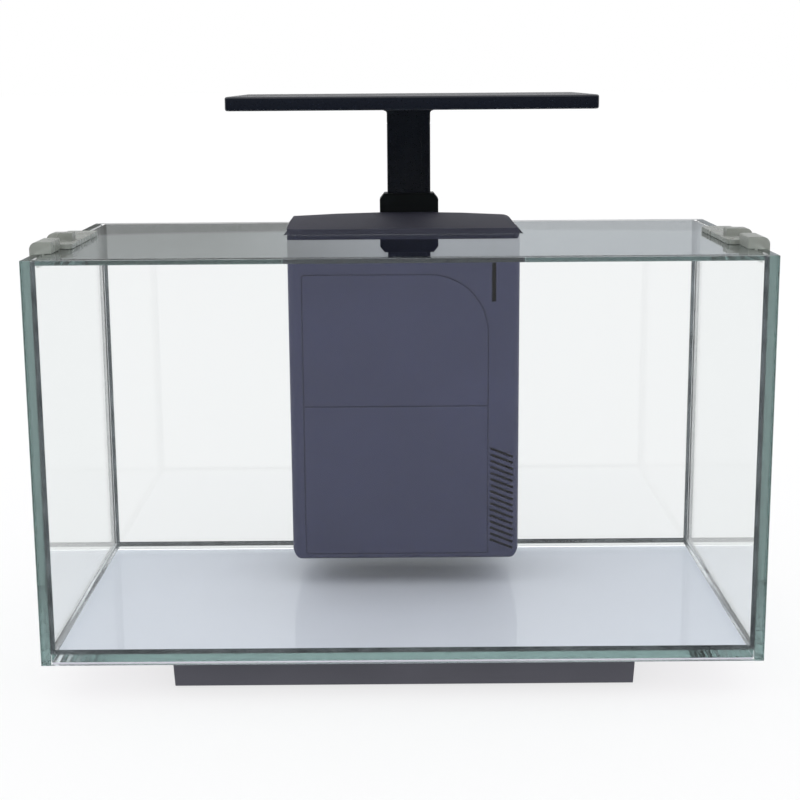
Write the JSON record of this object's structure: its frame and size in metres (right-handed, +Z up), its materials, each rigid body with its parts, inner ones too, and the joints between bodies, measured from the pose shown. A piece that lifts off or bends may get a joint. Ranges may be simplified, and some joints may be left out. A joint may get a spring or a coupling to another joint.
{
  "type": "aquarium on stand",
  "caption": "Small rectangular glass aquarium on a low plinth, with a lift-off glass lid, an inside hang-on filter box and a flat lamp on a stem.",
  "frame": {"origin": "on the table surface under the plinth, at the centre of the whole object seen from above", "axes": "+Z up, +Y to the back (the front pane faces -Y), +X to the right seen from the front"},
  "size_m": [0.5042, 0.277, 0.4125],
  "materials": {
    "glass": "clear float glass with polished edges that show green",
    "film": "thin white film under the floor pane",
    "silicone": "translucent silicone bead",
    "plinth": "moulded dark grey, fine texture",
    "foam": "closed-cell foam",
    "rubber": "matt black rubber",
    "clip": "translucent smoke-green clip",
    "filter_plastic": "blue-grey, satin",
    "cap_plastic": "grey, satin",
    "inner_plastic": "black moulded parts inside",
    "bracket_plastic": "black, fine texture",
    "lamp_plastic": "black, semi-gloss",
    "diffuser": "frosted window",
    "board": "white lacquered board",
    "steel": "plain",
    "ceramic": "matt, porous",
    "sponge": "open-cell foam block",
    "floss": "white polyester wool",
    "magnet": "ferrite rotor with moulded vanes"
  },
  "bodies": {
    "tank": {"front_glass": "glass", "back_glass": "glass", "left_glass": "glass", "right_glass": "glass", "bottom_glass": "glass", "floor_film": "film", "corner_seal_front_left": "silicone", "corner_seal_front_right": "silicone", "corner_seal_back_left": "silicone", "corner_seal_back_right": "silicone", "floor_seal": "silicone", "plinth_shell": "plinth", "plinth_floor_plate": "plinth", "cushion_mat": "foam", "foot_front_left": "rubber", "foot_front_right": "rubber", "foot_back_left": "rubber", "foot_back_right": "rubber", "hanger_pad": "rubber", "cable_gland": "rubber", "suction_foot_front_left": "rubber", "suction_foot_front_right": "rubber", "suction_foot_back_left": "rubber", "suction_foot_back_right": "rubber", "filter_box": "filter_plastic", "front_panel_upper": "filter_plastic", "front_panel_lower": "filter_plastic", "intake_partition": "inner_plastic", "pump_partition": "inner_plastic", "media_basket": "inner_plastic", "pump_body": "inner_plastic", "pump_cover": "inner_plastic", "outlet_pipe": "inner_plastic", "return_nozzle": "inner_plastic", "hanger": "bracket_plastic", "lamp_socket": "bracket_plastic", "hanger_screw_left": "steel", "hanger_screw_right": "steel", "bio_media": "ceramic", "impeller_shaft": "ceramic", "filter_sponge": "sponge", "filter_floss": "floss"},
    "lid": {"lid_glass": "glass", "clip_left": "clip", "clip_right": "clip"},
    "cap": {"filter_cap": "cap_plastic"},
    "rotor": {"impeller": "magnet"},
    "stem": {"lamp_stem": "lamp_plastic", "hinge_pin": "steel", "hinge_washer_left": "steel", "hinge_washer_right": "steel"},
    "lamp": {"lamp_bracket": "lamp_plastic", "lamp_housing": "lamp_plastic", "lamp_diffuser": "diffuser", "led_board": "board"}
  },
  "joints": [
    {"name": "lid_lift", "type": "slide", "parent": "tank", "child": "lid", "axis": [0, 0, 1], "range_m": [0, 0.06]},
    {"name": "cap_lift", "type": "slide", "parent": "tank", "child": "cap", "axis": [0, 0, 1], "range_m": [0, 0.06]},
    {"name": "stem_lift", "type": "slide", "parent": "tank", "child": "stem", "axis": [0, 0, 1], "range_m": [0, 0.04]},
    {"name": "lamp_tilt", "type": "hinge", "parent": "stem", "child": "lamp", "pos_m": [0.008, 0.1275, 0.394], "axis": [-1, 0, 0], "range_deg": [0, 75]},
    {"name": "impeller_spin", "type": "hinge", "parent": "tank", "child": "rotor", "pos_m": [-0.06035, 0.0724, 0.0797], "axis": [0, 1, 0], "continuous": true}
  ]
}
